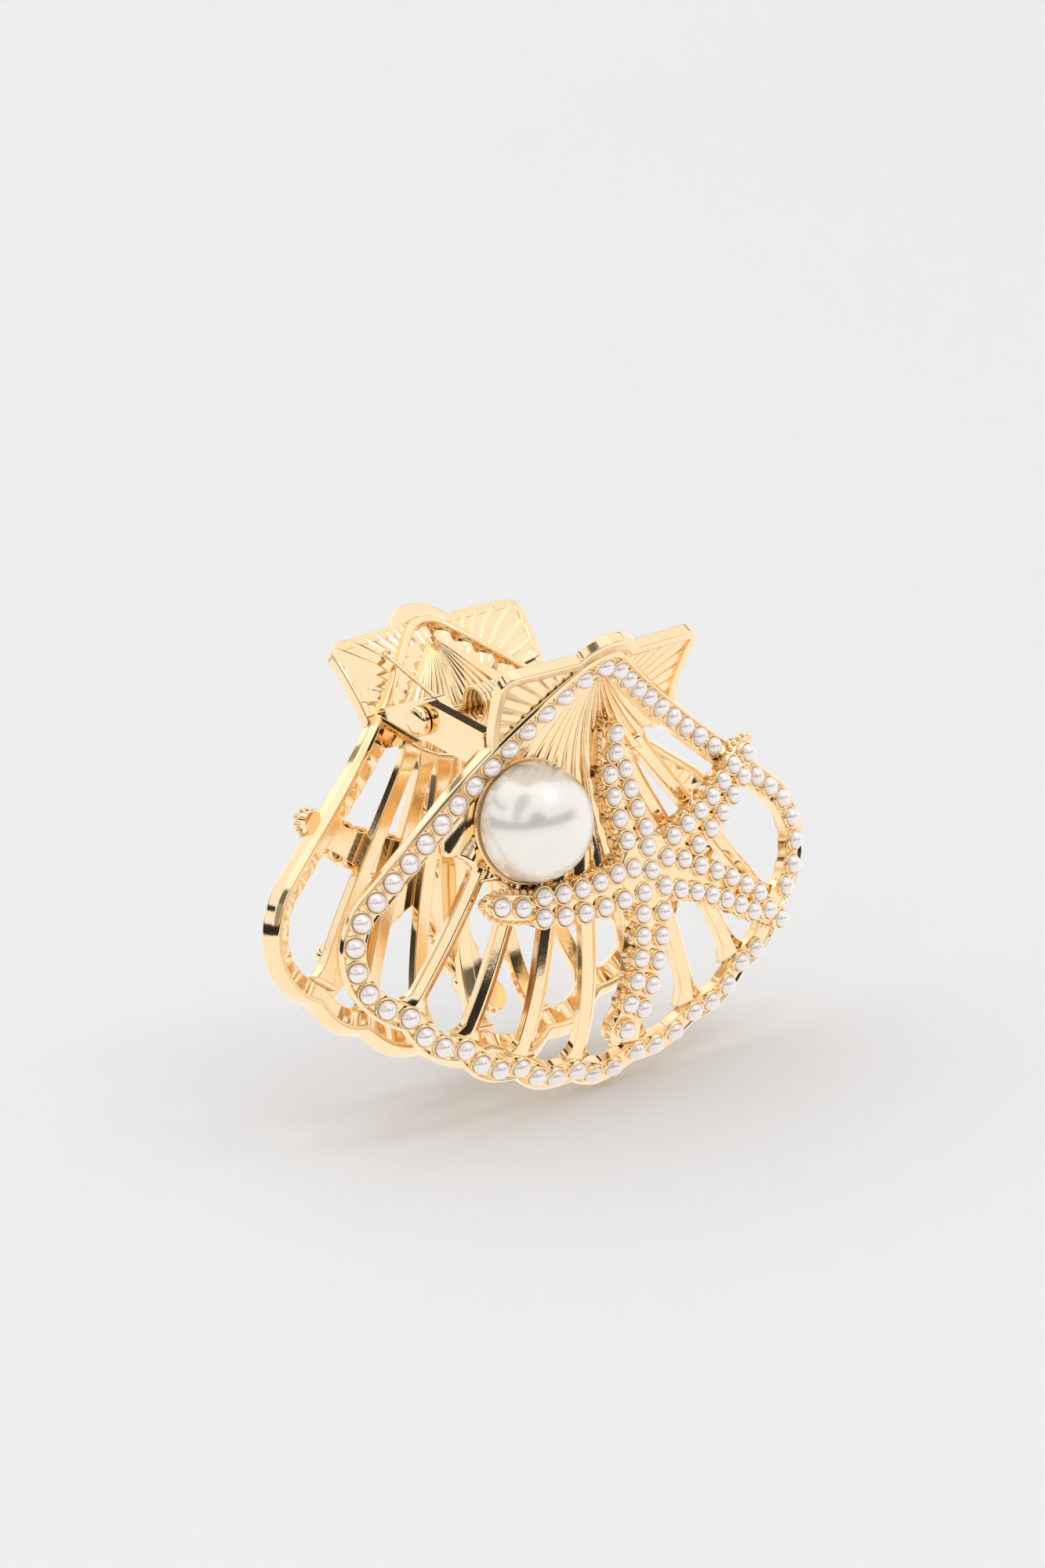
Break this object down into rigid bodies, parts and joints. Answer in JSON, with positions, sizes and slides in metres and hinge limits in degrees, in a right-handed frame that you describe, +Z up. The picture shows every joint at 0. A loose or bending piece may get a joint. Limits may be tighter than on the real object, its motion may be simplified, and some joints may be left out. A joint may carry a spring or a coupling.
{
  "type": "hair claw",
  "caption": "Claw hair clip with two pierced scallop shell jaws, starfish and pearls, on a sprung hinge that opens when the handles are squeezed.",
  "frame": {"origin": "middle of the base, on the surface that the closed clip stands on, midway between the two jaws", "axes": "+X along the hinge pin, +Y from the front jaw to the rear jaw, +Z up"},
  "size_m": [0.0588, 0.0354, 0.0478],
  "materials": {
    "plated_casting": "polished pale gold plating",
    "pin_metal": "polished pale gold plating",
    "spring_wire": "plated steel wire",
    "small_pearl": "white pearl lacquer",
    "large_pearl": "cream pearl lacquer"
  },
  "bodies": {
    "front_jaw": {"front_rim": "plated_casting", "front_ribs": "plated_casting", "front_fan": "plated_casting", "front_ears": "plated_casting", "front_handle_bar": "plated_casting", "front_pearl_cup": "plated_casting", "front_lugs": "plated_casting", "front_starfish": "plated_casting", "front_large_pearl": "large_pearl", "front_lobe_pearls": "small_pearl", "front_left_edge_pearls": "small_pearl", "front_right_edge_pearls": "small_pearl", "front_arm_1_pearls": "small_pearl", "front_arm_2_pearls": "small_pearl", "front_arm_3_pearls": "small_pearl", "front_arm_4_pearls": "small_pearl", "front_arm_5_pearls": "small_pearl", "front_star_centre_pearls": "small_pearl", "hinge_pin": "pin_metal", "pin_washer": "pin_metal", "hinge_spring": "spring_wire"},
    "rear_jaw": {"rear_rim": "plated_casting", "rear_ribs": "plated_casting", "rear_fan": "plated_casting", "rear_ears": "plated_casting", "rear_handle_bar": "plated_casting", "rear_pearl_cup": "plated_casting", "rear_lugs": "plated_casting", "rear_starfish": "plated_casting", "rear_large_pearl": "large_pearl", "rear_lobe_pearls": "small_pearl", "rear_left_edge_pearls": "small_pearl", "rear_right_edge_pearls": "small_pearl", "rear_arm_1_pearls": "small_pearl", "rear_arm_2_pearls": "small_pearl", "rear_arm_3_pearls": "small_pearl", "rear_arm_4_pearls": "small_pearl", "rear_arm_5_pearls": "small_pearl", "rear_star_centre_pearls": "small_pearl"}
  },
  "joints": [
    {"name": "jaw_hinge", "type": "hinge", "parent": "front_jaw", "child": "rear_jaw", "pos_m": [0, 0, 0.0398], "axis": [1, 0, 0], "range_deg": [0, 45], "stiffness_Nm_per_rad": 0.03, "springref_deg": -45.84, "deforming": ["hinge_spring"]}
  ]
}
